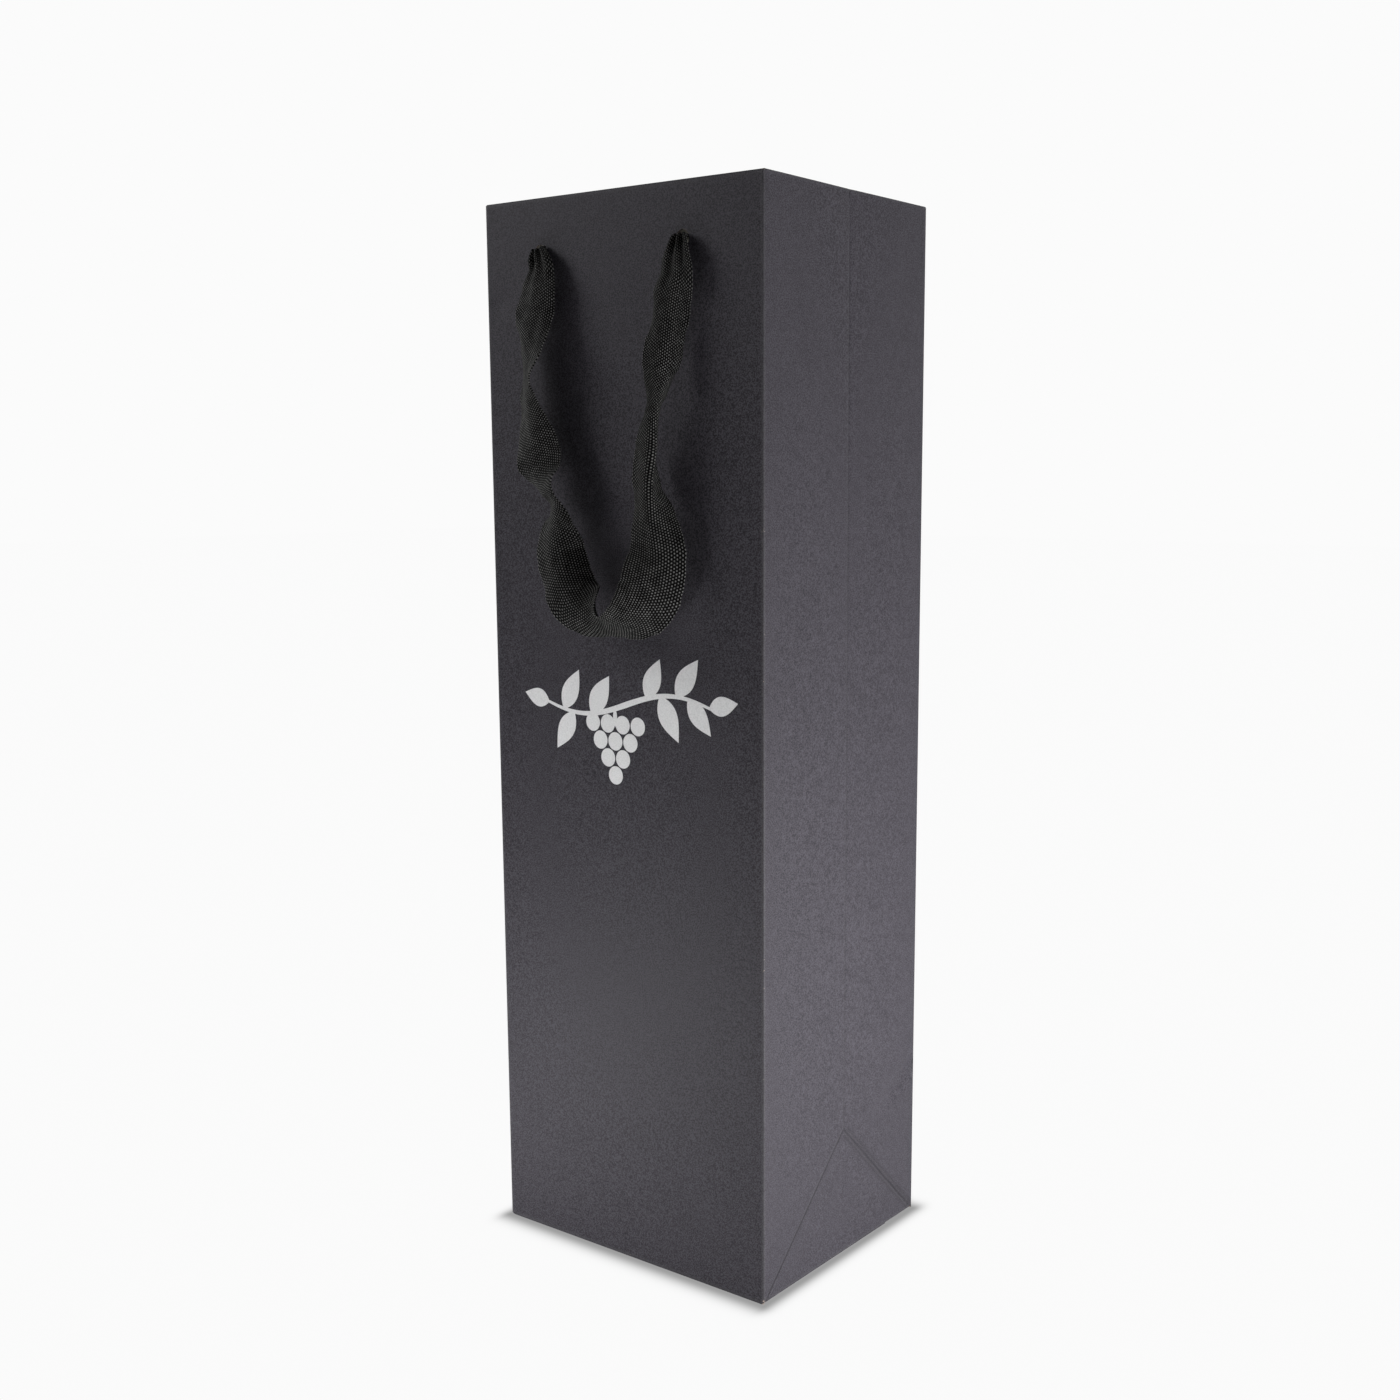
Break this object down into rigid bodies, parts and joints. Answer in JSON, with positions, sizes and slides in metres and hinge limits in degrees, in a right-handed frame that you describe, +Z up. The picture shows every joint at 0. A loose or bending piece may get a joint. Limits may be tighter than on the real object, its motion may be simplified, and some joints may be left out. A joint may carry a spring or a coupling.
{
  "type": "wine gift bag",
  "caption": "Tall folded paper bag for one bottle, with folding side gussets, a stiffened base and top hem, a printed vine sprig and two knotted ribbon handles.",
  "frame": {"origin": "middle of the face that the bag stands on", "axes": "+Z up to the mouth, -Y out of the front wall, +X to the right seen from the front"},
  "size_m": [0.12, 0.1336, 0.37],
  "materials": {
    "printed_paper": "matt charcoal print on coated paper, fine grain",
    "grey_card": "uncoated grey board",
    "ribbon": "woven black ribbon, slight sheen",
    "pale_ink": "pale grey print, matt"
  },
  "bodies": {
    "base": {"base_front_flap": "printed_paper", "base_back_flap": "printed_paper", "base_left_flap": "printed_paper", "base_right_flap": "printed_paper", "base_card": "grey_card"},
    "front_wall": {"front_wall": "printed_paper", "front_stiffener": "grey_card", "front_hem": "printed_paper", "front_print": "pale_ink", "front_left_knot": "ribbon", "front_left_tail": "ribbon", "front_right_knot": "ribbon", "front_right_tail": "ribbon"},
    "back_wall": {"back_wall": "printed_paper", "back_stiffener": "grey_card", "back_hem": "printed_paper", "seam_tab": "printed_paper", "back_left_knot": "ribbon", "back_left_tail": "ribbon", "back_right_knot": "ribbon", "back_right_tail": "ribbon"},
    "right_gusset": {"right_gusset_center": "printed_paper", "right_gusset_center_hem": "printed_paper"},
    "left_gusset": {"left_gusset_center": "printed_paper", "left_gusset_center_hem": "printed_paper"},
    "right_front_fold": {"right_front_fold": "printed_paper", "right_front_fold_hem": "printed_paper"},
    "right_back_fold": {"right_back_fold": "printed_paper", "right_back_fold_hem": "printed_paper"},
    "left_front_fold": {"left_front_fold": "printed_paper", "left_front_fold_hem": "printed_paper"},
    "left_back_fold": {"left_back_fold": "printed_paper", "left_back_fold_hem": "printed_paper"},
    "front_handle": {"front_handle": "ribbon"},
    "back_handle": {"back_handle": "ribbon"}
  },
  "joints": [
    {"name": "front_pinch", "type": "hinge", "parent": "base", "child": "front_wall", "pos_m": [0, -0.0473, 0.0006], "axis": [-1, 0, 0], "range_deg": [0, 5.08], "stiffness_Nm_per_rad": 0.6, "springref_deg": -1.15},
    {"name": "back_pinch", "type": "hinge", "parent": "base", "child": "back_wall", "pos_m": [0, 0.0473, 0.0006], "axis": [1, 0, 0], "range_deg": [0, 5.09]},
    {"name": "right_gusset_lean", "type": "hinge", "parent": "base", "child": "right_gusset", "pos_m": [0.0598, 0, 0.0006], "axis": [0, -1, 0], "range_deg": [0, 7], "deforming": ["right_gusset_center", "right_gusset_center_hem"]},
    {"name": "left_gusset_lean", "type": "hinge", "parent": "base", "child": "left_gusset", "pos_m": [-0.0598, 0, 0.0006], "axis": [0, 1, 0], "range_deg": [0, 7], "deforming": ["left_gusset_center", "left_gusset_center_hem"]},
    {"name": "right_front_tuck", "type": "hinge", "parent": "front_wall", "child": "right_front_fold", "pos_m": [0.0598, -0.0473, 0.0006], "axis": [0, 0, 1], "range_deg": [0, 72], "deforming": ["right_front_fold", "right_front_fold_hem"]},
    {"name": "left_front_tuck", "type": "hinge", "parent": "front_wall", "child": "left_front_fold", "pos_m": [-0.0598, -0.0473, 0.0006], "axis": [0, 0, -1], "range_deg": [0, 72], "deforming": ["left_front_fold", "left_front_fold_hem"]},
    {"name": "right_back_tuck", "type": "hinge", "parent": "back_wall", "child": "right_back_fold", "pos_m": [0.0598, 0.0473, 0.0006], "axis": [0, 0, -1], "range_deg": [0, 72], "deforming": ["right_back_fold", "right_back_fold_hem"]},
    {"name": "left_back_tuck", "type": "hinge", "parent": "back_wall", "child": "left_back_fold", "pos_m": [-0.0598, 0.0473, 0.0006], "axis": [0, 0, 1], "range_deg": [0, 72], "deforming": ["left_back_fold", "left_back_fold_hem"]},
    {"name": "front_handle_swing", "type": "hinge", "parent": "front_wall", "child": "front_handle", "pos_m": [-0.003, -0.0497, 0.352], "axis": [-1, 0, 0], "range_deg": [0, 150]},
    {"name": "back_handle_swing", "type": "hinge", "parent": "back_wall", "child": "back_handle", "pos_m": [0.003, 0.0497, 0.352], "axis": [1, 0, 0], "range_deg": [0, 150]}
  ],
  "couplings": [
    {"joint": "back_pinch", "follows": "front_pinch", "ratio": 1},
    {"joint": "right_gusset_lean", "follows": "front_pinch", "ratio": 1.3756},
    {"joint": "left_gusset_lean", "follows": "front_pinch", "ratio": 1.3756},
    {"joint": "right_front_tuck", "follows": "front_pinch", "ratio": 14.159},
    {"joint": "left_front_tuck", "follows": "front_pinch", "ratio": 14.159},
    {"joint": "right_back_tuck", "follows": "front_pinch", "ratio": 14.159},
    {"joint": "left_back_tuck", "follows": "front_pinch", "ratio": 14.159}
  ]
}
